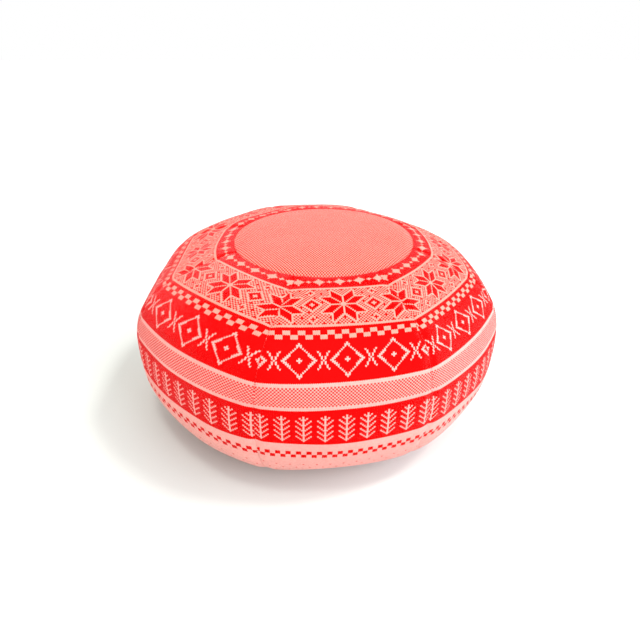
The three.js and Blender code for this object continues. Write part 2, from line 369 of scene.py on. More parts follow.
@dataclass
class Settling:
    """Settles the cover on its filling, by a cloth simulation on a coarse net of its panels.

    The filling presses a little unevenly and the seams hold the cloth back. Each row of the net
    keeps its mean distance from the middle, so the outline stays as it was cut.
    """

    cover: Cover
    cells_across: int = 14  # of one gore
    cells_down: int = 32  # of a gore, from the top panel to the floor
    crown_rings: tuple[float, ...] = (0, 0.14, 0.3, 0.48, 0.66, 0.84)  # of the ring seam's distance
    pressure: float = 6
    stiffness: float = 1.5  # of the knit against stretch
    bending: float = 1
    lumpiness: float = 1.6  # how unevenly the filling presses
    give: float = 0.5  # how far the filling is from pressing fully on the whole
    lump_size: float = 90 * MM
    waves: int = 6  # that make up the lumps
    seam_hold: float = 0.85  # 1 would nail the seam in place
    foot_height: float = 6 * MM  # below this the cloth lies on the floor
    frames: int = 20
    steps: int = 6  # to a frame
    limit: float = 4 * MM
    seed: int = 5

    def _net(self) -> tuple[np.ndarray, np.ndarray, np.ndarray]:
        """The net's rows, and its points and outward directions by row and by column."""
        cover, section = self.cover, self.cover.section
        rows = np.concatenate([np.array(self.crown_rings) * section.ring_s,
                               np.linspace(section.ring_s, section.floor_s, self.cells_down + 1)])
        columns = np.arange(self.cells_across * len(cover.cuts))
        share = 2 * (columns % self.cells_across) / self.cells_across - 1
        spreads = np.array([cover.spread(gore) for gore in columns // self.cells_across])
        azimuth = spreads[:, 0] + share * spreads[:, 1]
        points = np.empty((len(rows), len(columns), 3))
        for k, s in enumerate(rows):
            if s < section.ring_s:
                points[k] = cover.on_top(s * np.sin(azimuth), s * np.cos(azimuth))
                continue
            for gore in range(len(cover.cuts)):
                mine = columns // self.cells_across == gore
                points[k, mine] = cover.on_gore(gore, np.full(mine.sum(), s), share[mine])
        _, _, normal_r, normal_z = section.at(rows)
        outward = np.stack([normal_r[:, None] * np.sin(azimuth), -normal_r[:, None] * np.cos(azimuth),
                            np.repeat(normal_z[:, None], len(columns), axis=1)], axis=-1)
        return rows, points, outward

    def _lumps(self, points: np.ndarray) -> np.ndarray:
        """How firmly the filling presses at each point, from a few seeded waves."""
        chance = np.random.default_rng(self.seed)
        waves = chance.normal(size=(self.waves, 3))
        waves *= WHOLE_TURN / self.lump_size / np.linalg.norm(waves, axis=1, keepdims=True)
        starts = chance.uniform(0, WHOLE_TURN, self.waves)
        level = np.cos(points @ waves.T + starts).mean(axis=1)
        return (1 - self.lumpiness * (self.give + level)).clip(0, 1)

    def _cloth(self, points: np.ndarray, faces: list[Face], held: np.ndarray) -> np.ndarray:
        """Runs the simulation.

        Args:
            points: the net's points.
            faces: its faces, closed all round.
            held: how firmly each point is held in place, 0 to 1.

        Returns:
            The points after the last frame.
        """
        scene = bpy.context.scene
        net = new_object("cover_net", new_mesh("cover_net", points, [], faces))
        for name, weights in (("held", held), ("firm", self._lumps(points))):
            group = net.vertex_groups.new(name=name)
            for k, weight in enumerate(weights.tolist()):
                group.add([k], weight, "REPLACE")
        cloth = net.modifiers.new("filling", "CLOTH")
        cloth.settings.quality = self.steps
        cloth.settings.tension_stiffness = self.stiffness
        cloth.settings.compression_stiffness = self.stiffness
        cloth.settings.shear_stiffness = self.stiffness / 2
        cloth.settings.bending_stiffness = self.bending
        cloth.settings.use_pressure = True
        cloth.settings.uniform_pressure_force = self.pressure
        cloth.settings.vertex_group_pressure = "firm"
        cloth.settings.vertex_group_mass = "held"
        cloth.settings.effector_weights.gravity = 0
        cloth.collision_settings.use_collision = False
        cloth.point_cache.frame_end = self.frames
        for frame in range(1, self.frames + 1):
            scene.frame_set(frame)
        shaped = net.evaluated_get(bpy.context.evaluated_depsgraph_get()).data
        moved = np.empty(len(points) * 3)
        shaped.vertices.foreach_get("co", moved)
        bpy.data.objects.remove(net)
        scene.frame_set(1)
        return moved.reshape(-1, 3)

    def run(self) -> Drift:
        """Simulates the cover and gives how far it moves."""
        rows, points, outward = self._net()
        count, columns = points.shape[:2]
        ids = np.arange((count - 1) * columns).reshape(count - 1, columns) + 1
        foot = ids.max() + 1
        faces = [(0, int(ids[0, c]), int(ids[0, (c + 1) % columns])) for c in range(columns)]
        for k in range(count - 2):
            for c in range(columns):
                n = (c + 1) % columns
                faces.append((int(ids[k, c]), int(ids[k + 1, c]), int(ids[k + 1, n]),
                              int(ids[k, n])))
        faces += [(int(ids[-1, (c + 1) % columns]), int(ids[-1, c]), int(foot))
                  for c in range(columns)]
        middle = points[0].mean(axis=0, keepdims=True)
        net = np.concatenate([middle, points[1:].reshape(-1, 3), np.zeros((1, 3))])
        held = np.zeros(points.shape[:2])
        held[:, ::self.cells_across] = self.seam_hold
        held[:len(self.crown_rings)] = 0
        held[len(self.crown_rings)] = self.seam_hold
        held[points[..., 2] < self.foot_height] = 1
        held = np.concatenate([[0], held[1:].ravel(), [1]])
        moved = self._cloth(net, faces, held) - net
        moves = np.empty_like(points)
        moves[0] = moved[0]
        moves[1:] = moved[1:-1].reshape(count - 1, columns, 3)
        out = (moves * outward).sum(axis=-1, keepdims=True)
        log.info("settling: the cloth moved out %.1f to %.1f mm", out.min() / MM, out.max() / MM)
        moves -= out.mean(axis=1, keepdims=True) * outward
        share = (rows / self.cover.section.ring_s).clip(0, 1)
        moves *= (share ** 2 * (3 - 2 * share))[:, None, None]  # the middle of the top stays smooth
        length = np.linalg.norm(moves, axis=-1, keepdims=True)
        return Drift(rows, moves * np.tanh(length / self.limit) / (length / self.limit).clip(1e-9))


class Yarn(IntEnum):
    """The colours that a stitch carries, by number: the red yarn, and the pale in two tones. Cream
    for the upper bands and the top panel, and a lighter pink for the lower bands and the base, paint
    the warmer light from above and the pinker light from below.
    """

    RED = 0
    CREAM = 1
    PINK = 2


Motif = Callable[[np.ndarray, np.ndarray], np.ndarray]


def repeat(i: np.ndarray, wales: int, start: int = 0) -> np.ndarray:
    """How far a wale is from the middle of its repeat, counted from minus half the repeat."""
    return (i - start + wales // 2) % wales - wales // 2


def plain(shown: bool) -> Motif:
    """All pale, or all red."""
    return lambda i, j: np.full(i.shape, shown)


def dice(wales: int, courses: int) -> Motif:
    """Blocks of the two yarns by turns."""
    return lambda i, j: ((i + wales // 2) // wales + j // courses) % 2 == 0


def birdseye(i: np.ndarray, j: np.ndarray) -> np.ndarray:
    """Single stitches of the two yarns by turns."""
    return (i + j) % 2 == 0


def net(i: np.ndarray, j: np.ndarray, spacing: int = 8) -> np.ndarray:
    """Birdseye with a pale stitch left out here and there, so that the red is a net."""
    return birdseye(i, j) & (((i + j) % spacing != 0) | ((i - j) % spacing != 0))


def lozenges_and_crosses(i: np.ndarray, j: np.ndarray) -> np.ndarray:
    """Open lozenges with a pip in the middle, and a cross between each two."""
    wales, middle = 26, 10
    half_width, half_height = 9, 10
    inner_edge, outer_edge, pip = 0.85, 1.02, 0.2  # of the way out from a lozenge's middle
    arm, slope = 5, 1.9
    y = np.abs(j - middle)
    reach = np.abs(repeat(i, wales)) / half_width + y / half_height
    lozenge = (reach > inner_edge) & (reach <= outer_edge) | (reach < pip)
    from_cross = np.abs(repeat(i, wales, wales // 2))
    cross = (np.abs(from_cross * slope - y) < 1) & (y <= arm)
    return lozenge | cross


def feathers(i: np.ndarray, j: np.ndarray) -> np.ndarray:
    """Upright feathers: a quill with barbs that slant away from it."""
    wales, barb, spacing, tip = 12, 4, 4, 20
    x = np.abs(repeat(i, wales))
    quill = (x == 0) & (j > 0)
    barbs = ((j + x) % spacing == 0) & (x >= 1) & (x <= barb) & (j > x - 1) & (j + x <= tip)
    return quill | barbs


def star(i: np.ndarray, j: np.ndarray, petal: int) -> np.ndarray:
    """An eight-petalled star around stitch 0 of course 0, its petals a stitch apart."""
    far = np.maximum(np.abs(i), np.abs(j))
    near = np.minimum(np.abs(i), np.abs(j))
    return (near >= 1) & (near <= petal) & (far - near >= 1) & (far - near <= petal)


def stars_on_net(i: np.ndarray, j: np.ndarray) -> np.ndarray:
    """Large red stars and lozenges, each ringed with pale, on a net of single stitches."""
    wales, middle, petal = 36, 14, 6
    half_lozenge, pip_height = 4, 11
    x, y = repeat(i, wales), j - middle
    red = star(x, y, petal)
    ring = np.zeros_like(red)
    for step_x in (-1, 0, 1):
        for step_y in (-1, 0, 1):
            ring |= star(x + step_x, y + step_y, petal)
    between = np.abs(repeat(i, wales, wales // 2))
    lozenge = between + np.abs(y)
    pip = between + np.abs(np.abs(y) - pip_height)
    red |= ((lozenge > 1) & (lozenge <= half_lozenge)) | (pip <= 1)
    ring |= (lozenge <= half_lozenge + 1) | (pip == 2)
    return (net(i, j) | ring) & ~red


def seeds(i: np.ndarray, j: np.ndarray) -> np.ndarray:
    """Pale lozenges on red, with a pip between each two."""
    wales, middle = 12, 5
    half_width, half_height = 3.4, 4.2
    y = np.abs(j - middle)
    lozenge = np.abs(repeat(i, wales)) / half_width + y / half_height <= 1
    pip = np.abs(repeat(i, wales, wales // 2)) + y <= 1
    return lozenge | pip


def flecks(i: np.ndarray, j: np.ndarray) -> np.ndarray:
    """Single red stitches, far apart, on pale."""
    wales, courses = 8, 5
    moved = i + wales // 2 * ((j // courses) % 2)
    return (moved % wales != 0) | (j % courses != courses // 2)


@dataclass(frozen=True)
class Band:
    """One band of a gore's chart.

    Attributes:
        depth: how far it reaches along the gore.
        courses: rows of stitches in it.
        pale: the yarn beside the red.
        motif: which stitches are pale, by wale and by course.
    """

    depth: float
    courses: int
    pale: Yarn
    motif: Motif


@dataclass
class SideChart:
    """The bands of a gore from the top panel down, the last one stretched to the floor."""

    bands: tuple[Band, ...] = (
        Band(4 * MM, 3, Yarn.CREAM, plain(False)),
        Band(18 * MM, 11, Yarn.CREAM, seeds),
        Band(4 * MM, 3, Yarn.CREAM, plain(False)),
        Band(3 * MM, 2, Yarn.CREAM, plain(True)),
        Band(53 * MM, 29, Yarn.CREAM, stars_on_net),
        Band(3 * MM, 2, Yarn.CREAM, plain(True)),
        Band(4 * MM, 3, Yarn.CREAM, plain(False)),
        Band(10 * MM, 6, Yarn.CREAM, dice(4, 3)),
        Band(4 * MM, 3, Yarn.CREAM, plain(False)),
        # from here down the pale takes the lighter pink tone, which paints the pinker light from
        # below
        Band(37 * MM, 21, Yarn.PINK, lozenges_and_crosses),
        Band(5 * MM, 3, Yarn.PINK, plain(False)),
        Band(4 * MM, 2, Yarn.PINK, plain(True)),
        Band(22 * MM, 12, Yarn.PINK, birdseye),
        Band(4 * MM, 2, Yarn.PINK, plain(True)),
        Band(5 * MM, 3, Yarn.PINK, plain(False)),
        Band(37 * MM, 21, Yarn.PINK, feathers),
        Band(4 * MM, 2, Yarn.PINK, plain(False)),
        Band(12 * MM, 6, Yarn.PINK, plain(True)),
        Band(12 * MM, 6, Yarn.PINK, dice(3, 3)),
        Band(12 * MM, 6, Yarn.PINK, plain(True)),
        Band(0, 69, Yarn.PINK, flecks),
    )

    def courses(self, start: float, end: float) -> np.ndarray:
        """Where each course starts along the gore, and where the last one ends."""
        edges = [np.array([start])]
        for band in self.bands:
            begun = edges[-1][-1]
            reach = begun + band.depth if band.depth else end
            edges.append(np.linspace(begun, reach, band.courses + 1)[1:])
        return np.concatenate(edges)

    def yarns(self, wale: np.ndarray, course: np.ndarray) -> np.ndarray:
        """The yarn of each stitch, by its wale and its course."""
        yarn = np.zeros(wale.shape, dtype=int)
        first = 0
        for band in self.bands:
            inside = (course >= first) & (course < first + band.courses)
            shown = band.motif(wale[inside], course[inside] - first)
            yarn[inside] = np.where(shown, int(band.pale), int(Yarn.RED))
            first += band.courses
        return yarn


@dataclass
class FlatKnit:
    """A panel laid flat, as a mesh in which every stitch is a V of two slanting faces.

    Attributes:
        wale: the width of a stitch.
        courses: where each course starts, and where the last one ends.
        half_widths: half the panel's width at each of these.
        hang: how far the middle of a V hangs below its ends, in courses.
    """

    wale: float
    courses: np.ndarray
    half_widths: np.ndarray
    hang: float = STITCH_HANG
    across: np.ndarray = field(init=False)
    down: np.ndarray = field(init=False)
    course: np.ndarray = field(init=False)
    faces: list[Face] = field(init=False)
    rows: list[np.ndarray] = field(init=False)
    face_wale: np.ndarray = field(init=False)
    face_course: np.ndarray = field(init=False)

    def __post_init__(self) -> None:
        """Works out the points, the faces, and the stitch that each face belongs to."""
        heights = np.gradient(self.courses)
        narrowest = self.wale / 8  # that a stitch may be cut to at the panel's edge
        across, down, course = [], [], []
        self.rows, inner = [], []
        count = 0
        for j, (start, width) in enumerate(zip(self.courses, self.half_widths)):
            last = int((width - narrowest) / (self.wale / 2))
            u = np.arange(-last, last + 1) * self.wale / 2
            u = np.concatenate([[-width], u, [width]])
            hang = 0 if j in (0, len(self.courses) - 1) else self.hang
            low = hang * (1 - np.abs(2 * ((u / self.wale + 0.5) % 1) - 1))
            across.append(u)
            down.append(start + low * heights[j])
            course.append(j + low)
            self.rows.append(np.arange(count, count + len(u)))
            inner.append(last)
            count += len(u)
        self.across, self.down = np.concatenate(across), np.concatenate(down)
        self.course = np.concatenate(course)
        self.faces, wales, courses = [], [], []
        for j in range(len(self.rows) - 1):
            faces = self._strip(self.rows[j], self.rows[j + 1], inner[j], inner[j + 1])
            self.faces += faces
            wales += [round(float(np.mean(self.across[list(f)])) / self.wale) for f in faces]
            courses += [j] * len(faces)
        self.face_wale, self.face_course = np.array(wales), np.array(courses)

    def _strip(self, above: np.ndarray, below: np.ndarray, reach_above: int,
               reach_below: int) -> list[Face]:
        """The faces of one course.

        Args:
            above: the points of its upper edge, from left to right.
            below: those of its lower edge.
            reach_above: how many half wales the upper edge reaches each way, before its end.
            reach_below: the same for the lower edge.

        Returns:
            Its faces, as point numbers that turn against the clock.
        """
        shared = min(reach_above, reach_below)
        start_above, start_below = reach_above + 1 - shared, reach_below + 1 - shared
        a = above[start_above:start_above + 2 * shared + 1]
        b = below[start_below:start_below + 2 * shared + 1]
        faces = list(zip(a[:-1].tolist(), b[:-1].tolist(), b[1:].tolist(), a[1:].tolist()))
        right = self._edge(above[start_above + 2 * shared:], below[start_below + 2 * shared:])
        left = self._edge(above[:start_above + 1][::-1], below[:start_below + 1][::-1])
        return faces + right + [face[::-1] for face in left]

    def _edge(self, above: np.ndarray, below: np.ndarray) -> list[Face]:
        """The faces between the last shared points of two rows and the panel's edge."""
        if len(above) == len(below) == 2:
            return [(int(above[0]), int(below[0]), int(below[1]), int(above[1]))]
        faces = []
        a = b = 0
        while a < len(above) - 1 or b < len(below) - 1:
            done_above, done_below = a == len(above) - 1, b == len(below) - 1
            nearer = not done_below and not done_above and (
                abs(self.across[below[b + 1]]) < abs(self.across[above[a + 1]]))
            if done_above or nearer:
                faces.append((int(above[a]), int(below[b]), int(below[b + 1])))
                b += 1
            else:
                faces.append((int(above[a]), int(below[b]), int(above[a + 1])))
                a += 1
        return faces

    def rim(self) -> list[int]:
        """The panel's edge: the first row, down the right, back along the last, up the left."""
        right = [int(row[-1]) for row in self.rows[1:-1]]
        left = [int(row[0]) for row in self.rows[1:-1]]
        return self.rows[0].tolist() + right + self.rows[-1][::-1].tolist() + left[::-1]


@dataclass
class PanelMesh:
    """A panel's mesh while it is built: the knitted face first, and then what closes it."""

    knit: FlatKnit
    points: list[np.ndarray]
    faces: list[Face] = field(default_factory=list)
    count: int = 0

    def __post_init__(self) -> None:
        """Counts the points of the knitted face."""
        self.count = sum(len(points) for points in self.points)

    def add(self, points: np.ndarray) -> list[int]:
        """Adds points and gives their numbers."""
        self.points.append(points)
        self.count += len(points)
        return list(range(self.count - len(points), self.count))

    def bridge(self, first: Sequence[int], second: Sequence[int], closed: bool) -> None:
        """Faces between two rows of as many points; the second row is further in."""
        last = len(first) if closed else len(first) - 1
        for k in range(last):
            n = (k + 1) % len(first)
            self.faces.append((first[k], first[n], second[n], second[k]))

    def fan(self, row: Sequence[int], tip: int, closed: bool) -> None:
        """Faces from a row of points to a tip further in."""
        last = len(row) if closed else len(row) - 1
        for k in range(last):
            self.faces.append((row[k], row[(k + 1) % len(row)], tip))

    def build(self, name: str, yarns: np.ndarray, hidden: Yarn | np.ndarray) -> bpy.types.Object:
        """Makes the object.

        Args:
            name: its name.
            yarns: the yarn of each face of the knitted side.
            hidden: the yarn on the faces that close it, or one for each of them.

        Returns:
            The object, with the map "stitches" in wales and courses and the attribute "yarn".
        """
        knit = self.knit
        points = np.concatenate(self.points)
        faces = knit.faces + self.faces
        mesh = new_mesh(name, points, [], faces)
        corners = np.empty(len(mesh.loops), dtype=np.int32)
        mesh.loops.foreach_get("vertex_index", corners)
        spots = np.zeros((len(points), 2))
        spots[:len(knit.across)] = np.stack([knit.across / knit.wale, knit.course], axis=1)
        stitches = mesh.uv_layers.new(name="stitches")
        stitches.uv.foreach_set("vector", spots[corners].ravel())
        of_face = np.concatenate([yarns, np.full(len(self.faces), hidden)])
        sides = np.array([len(face) for face in faces])
        yarn = mesh.attributes.new("yarn", "FLOAT", "CORNER")
        yarn.data.foreach_set("value", np.repeat(of_face, sides).astype(np.float32))
        mesh.polygons.foreach_set("use_smooth", np.arange(len(faces)) < len(knit.faces))
        mesh.validate()
        mesh.update()
        return new_object(name, mesh)


Socket = bpy.types.NodeSocket
Value = Socket | float | Sequence[float] | str


@dataclass
class Nodes:
    """A short way to add and join nodes in one tree."""

    tree: bpy.types.NodeTree

    def add(self, kind: str, inputs: dict[str | int, Value] | None = None,
            **settings: object) -> bpy.types.Node:
        """Adds a node.

        Args:
            kind: its type.
            inputs: what its inputs are fed, by their names or numbers.
            settings: its properties, which are set first.

        Returns:
            The node.
        """
        node = self.tree.nodes.new(kind)
        for name, setting in settings.items():
            setattr(node, name, setting)
        for key, value in (inputs or {}).items():
            self.feed(node.inputs[key], value)
        return node

    def feed(self, socket: Socket, value: Value) -> None:
        """Joins a socket to an input, or sets the input to a value."""
        if isinstance(value, Socket):
            self.tree.links.new(value, socket)
        else:
            socket.default_value = value

    def math(self, operation: str, *values: Value) -> Socket:
        """A Math node's result."""
        return self.add("ShaderNodeMath", dict(enumerate(values)), operation=operation).outputs[0]

    def vector(self, x: Value, y: Value, z: Value = 0.0) -> Socket:
        """A vector from its parts."""
        return self.add("ShaderNodeCombineXYZ", {0: x, 1: y, 2: z}).outputs[0]

    def mix(self, factor: Value, a: Value, b: Value, blend: str = "MIX") -> Socket:
        """A colour mix. The node has its colours at inputs 6 and 7 and at output 2."""
        inputs = {"Factor": factor, 6: a, 7: b}
        return self.add("ShaderNodeMix", inputs, data_type="RGBA", blend_type=blend).outputs[2]

    def bump(self, height: Socket, depth: float, strength: float = 1.0) -> Socket:
        """Normals with a relief, from its heights."""
        inputs = {"Height": height, "Distance": depth, "Strength": strength}
        return self.add("ShaderNodeBump", inputs).outputs["Normal"]


def matt_material(name: str, roughness: float, fuzz: float,
                  gloss: float = 0.0) -> tuple[bpy.types.Material, Nodes, bpy.types.Node]:
    """Makes a material with little or no gloss.

    Args:
        name: its name.
        roughness: how much it scatters light.
        fuzz: how much sheen its short fibres give it.
        gloss: its mirror-like share.

    Returns:
        The material, its nodes and its shader.
    """
    made = bpy.data.materials.new(name)
    made.use_nodes = True
    shader = made.node_tree.nodes["Principled BSDF"]
    shader.inputs["Roughness"].default_value = roughness
    shader.inputs["Sheen Weight"].default_value = fuzz
    shader.inputs["Specular IOR Level"].default_value = gloss
    return made, Nodes(made.node_tree), shader


def stitch_group() -> bpy.types.NodeTree:
    """Builds the shader group for the form of a knit stitch.

    It reads the map "stitches". Height is the rounded yarn of a stitch's two legs with its
    fibres, Tone a chance value for each stitch, and Groove 1 in the dips between stitches.

    Returns:
        The group, with inputs Hang, Fibre Depth and Seed.
    """
    leg_fullness = 0.7  # 1 would round a leg as a sine, and less makes it fuller
    fibres_across, fibres_down = 2.5, 9  # how closely they lie in a stitch
    fibre_scale, fibre_detail = 1.3, 2
    tree = bpy.data.node_groups.new("Knit Stitch", "ShaderNodeTree")
    for name, value in (("Hang", STITCH_HANG), ("Fibre Depth", 0.25), ("Seed", 0.0)):
        socket = tree.interface.new_socket(name, in_out="INPUT", socket_type="NodeSocketFloat")
        socket.default_value = value
    for name in ("Height", "Tone", "Groove"):
        tree.interface.new_socket(name, in_out="OUTPUT", socket_type="NodeSocketFloat")
    nodes = Nodes(tree)
    given = nodes.add("NodeGroupInput").outputs
    stitches = nodes.add("ShaderNodeUVMap", uv_map="stitches")
    split = nodes.add("ShaderNodeSeparateXYZ", {0: stitches.outputs[0]}).outputs
    across = nodes.math("ADD", split["X"], 0.5)
    legs = nodes.math("MULTIPLY", nodes.math("FRACT", across), 2)
    from_middle = nodes.math("ABSOLUTE", nodes.math("SUBTRACT", legs, 1))
    low = nodes.math("MULTIPLY", nodes.math("SUBTRACT", 1, from_middle), given["Hang"])
    down = nodes.math("SUBTRACT", split["Y"], low)
    round_leg, round_course = (
        nodes.math("SINE", nodes.math("MULTIPLY", nodes.math("FRACT", part), math.pi))
        for part in (legs, down))
    full_leg = nodes.math("POWER", round_leg, leg_fullness)
    bulge = nodes.math("SQRT", nodes.math("MULTIPLY", full_leg, round_course))
    stitch = nodes.vector(nodes.math("FLOOR", across), nodes.math("FLOOR", down), given["Seed"])
    chance = nodes.add("ShaderNodeTexWhiteNoise", {"Vector": stitch}, noise_dimensions="3D")
    along = nodes.vector(nodes.math("MULTIPLY", across, fibres_across),
                         nodes.math("MULTIPLY", down, fibres_down))
    fibres = nodes.add("ShaderNodeTexNoise", {"Vector": along, "Scale": fibre_scale,
                                              "Detail": fibre_detail}, noise_dimensions="2D")
    rough = nodes.math("MULTIPLY", fibres.outputs["Fac"], given["Fibre Depth"])
    # Groove marks the dips between stitches, which the knit's material darkens with painted shade
    nodes.add("NodeGroupOutput", {"Height": nodes.math("ADD", bulge, rough),
                                  "Tone": chance.outputs["Value"],
                                  "Groove": nodes.math("SUBTRACT", 1, bulge)})
    return tree


@dataclass(frozen=True)
class KnitFinish:
    """A jacquard knit's material: its yarns' colours and how the cloth takes light.

    Attributes:
        red, cream, pink: the colours, in linear light, of the red yarn and of the pale in two tones;
            the cream and the lighter pink paint the warmer light on the upper bands and the pinker
            light on the lower bands and the base.
        unevenness: how much lighter or darker a stitch may be.
        patch_scale, patch_detail: of the patches that are a little lighter or darker.
        groove_shade: how much painted shade darkens the dips between stitches.
        stitch_relief: how far the yarn stands up.
    """

    name: str
    red: Colour = (0.65, 0.003, 0.003)
    # cream and the lighter pink are the pale in two tones, painted light: warmer from above, pinker
    # from below
    cream: Colour = (0.78, 0.26, 0.2)
    pink: Colour = (0.78, 0.34, 0.295)
    roughness: float = 0.9
    fuzz: float = 0.3
    fuzz_roughness: float = 0.12
    fuzz_tint: Colour = (1, 0.85, 0.85)
    unevenness: float = 0.12
    patch_scale: float = 28
    patch_detail: float = 3
    groove_shade: float = 0.25
    stitch_relief: float = 0.5 * MM
    relief_strength: float = 0.8
    seed: float = 0.0

    def material(self, stitch: bpy.types.NodeTree) -> bpy.types.Material:
        """Builds the material.

        Args:
            stitch: the shader group of a stitch's form.

        Returns:
            The material.
        """
        made, nodes, shader = matt_material(self.name, self.roughness, self.fuzz)
        form = nodes.add("ShaderNodeGroup", {"Seed": self.seed}, node_tree=stitch).outputs
        yarn = nodes.add("ShaderNodeAttribute", attribute_name="yarn").outputs["Fac"]
        pale = nodes.math("GREATER_THAN", yarn, Yarn.CREAM - 0.5)
        pinker = nodes.math("GREATER_THAN", yarn, Yarn.PINK - 0.5)
        pale_yarn = nodes.mix(pinker, (*self.cream, 1), (*self.pink, 1))
        colour = nodes.mix(pale, (*self.red, 1), pale_yarn)
        place = nodes.add("ShaderNodeTexCoord").outputs["Object"]
        patches = nodes.add("ShaderNodeTexNoise", {"Vector": place, "Scale": self.patch_scale,
                                                   "Detail": self.patch_detail}).outputs["Fac"]
        chance = nodes.math("SUBTRACT", nodes.math("ADD", form["Tone"], patches), 1)
        shade = nodes.math("MULTIPLY", chance, self.unevenness)
        # painted shade: the base colour is darkened in the dips between stitches
        painted_groove_shade = nodes.math("MULTIPLY", form["Groove"], self.groove_shade)
        light = nodes.math("SUBTRACT", nodes.math("ADD", shade, 1), painted_groove_shade)
        grey = nodes.add("ShaderNodeCombineColor", {0: light, 1: light, 2: light}).outputs[0]
        nodes.feed(shader.inputs["Base Color"], nodes.mix(1.0, colour, grey, "MULTIPLY"))
        nodes.feed(shader.inputs["Normal"],
                   nodes.bump(form["Height"], self.stitch_relief, self.relief_strength))
        shader.inputs["Sheen Roughness"].default_value = self.fuzz_roughness
        shader.inputs["Sheen Tint"].default_value = (*self.fuzz_tint, 1)
        return made


def dress(piece: bpy.types.Object, material: bpy.types.Material, node: str) -> None:
    """Gives a filled piece its material, and puts it in the place of its CAD solid."""
    piece.data.materials.append(material)
    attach(piece, BODY)
    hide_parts(node)


@dataclass
class SideGores:
    """The eight gores of the side. One flat knit serves them all, each charted a little off."""

    cover: Cover
    chart: SideChart = field(default_factory=SideChart)
    wale: float = 1.9 * MM
    recess: float = 3.4 * MM  # of the filling under a round panel
    axis_room: float = 1.01  # of the least radius at which the gores are a gap apart
    knit: FlatKnit = field(init=False)

    def __post_init__(self) -> None:
        """Lays out the flat knit."""
        section = self.cover.section
        courses = self.chart.courses(section.ring_s, section.floor_s)
        self.knit = FlatKnit(self.wale, courses, self.cover.half_width(courses))

    def build(self, gore: int) -> bpy.types.Object:
        """Builds one gore: its knitted face, closed by the filling's faces.

        Args:
            gore: which one, from 0.

        Returns:
            The gore.
        """
        cover, knit = self.cover, self.knit
        share = (knit.across / cover.half_width(knit.down)).clip(-1, 1)
        share[[row[0] for row in knit.rows]] = -1
        share[[row[-1] for row in knit.rows]] = 1
        panel = PanelMesh(knit, [cover.on_gore(gore, knit.down, share)])
        roof = self._close_top(panel, gore, share[knit.rows[0]])
        on_floor = slice(len(panel.faces), len(panel.faces) + len(knit.rows[-1]) - 1)
        foot = self._close_foot(panel, gore, share[knit.rows[-1]])
        for side, end in ((-1, 0), (1, -1)):
            outline = [int(row[end]) for row in (*roof[::-1], *knit.rows, *foot)]
            self._wall(panel, outline, side)
        yarns = self.chart.yarns(knit.face_wale + cover.cuts[gore].shift, knit.face_course)
        hidden = np.full(len(panel.faces), int(Yarn.RED))
        hidden[on_floor] = int(Yarn.PINK)  # this strip shows when the pouf is turned over
        return panel.build(f"side_gore_{gore + 1}_knit", yarns, hidden)

    def _tip(self, panel: PanelMesh, gore: int, z: float) -> list[int]:
        """Adds the gore's point beside the axis at a height, and gives it as a row."""
        middle, half = self.cover.spread(gore)
        radius = self.axis_room * self.cover.gap / 2 / math.sin(half)
        return panel.add(self.cover.place(np.array([middle]), np.array([radius]), np.array([z])))

    def _close_top(self, panel: PanelMesh, gore: int, share: np.ndarray) -> list[list[int]]:
        """Closes a gore under the top panel.

        Args:
            panel: the gore's mesh.
            gore: which one, from 0.
            share: where its upper row's points lie, from -1 to 1.

        Returns:
            The rows that it adds, from the ring seam inwards.
        """
        cover, section = self.cover, self.cover.section
        rows = [panel.knit.rows[0].tolist()]
        for ring in HIDDEN_RINGS:
            radius = section.wall_radius if ring == 1 else ring * section.panel_radius
            rows.append(panel.add(cover.under_top(gore, share, radius, self.recess)))
            panel.bridge(rows[-2], rows[-1], closed=False)
        tip = self._tip(panel, gore, section.z[0] - self.recess)
        panel.fan(rows[-1], tip[0], closed=False)
        return [*rows[1:], tip]

    def _close_foot(self, panel: PanelMesh, gore: int, share: np.ndarray) -> list[list[int]]:
        """Closes a gore on the floor and over the base panel.

        Args:
            panel: the gore's mesh.
            gore: which one, from 0.
            share: where its last row's points lie, from -1 to 1.

        Returns:
            The rows that it adds, from the edge of the flat foot inwards.
        """
        cover, wall = self.cover, self.cover.section.wall_radius
        middle, half = cover.spread(gore)
        azimuth = middle + share * (half - math.asin(cover.gap / 2 / wall))
        radius = np.full(len(share), wall)
        rows = [panel.knit.rows[-1].tolist()]
        for height in (cover.base_lift(radius), np.full(len(share), self.recess)):
            rows.append(panel.add(cover.place(azimuth, radius, height)))
            panel.bridge(rows[-2][::-1], rows[-1][::-1], closed=False)
        tip = self._tip(panel, gore, self.recess)
        panel.fan(rows[-1][::-1], tip[0], closed=False)
        return [*rows[1:], tip]

    def _wall(self, panel: PanelMesh, outline: list[int], side: int) -> None:
        """Closes a gore at one seam.

        Args:
            panel: the gore's mesh.
            outline: the points round the wall, from the axis at the top to that at the base.
            side: -1 at the first seam, 1 at the second.
        """
        points = np.concatenate(panel.points)[outline]
        radii = self.cover.radius(points).tolist()
        flat = [Vector((r, z, 0)) for r, z in zip(radii, points[:, 2].tolist())]
        for a, b, c in tessellate_polygon([flat]):
            turned = (flat[b] - flat[a]).cross(flat[c] - flat[a]).z < 0
            if turned == (side < 0):
                b, c = c, b
            panel.faces.append((outline[a], outline[b], outline[c]))


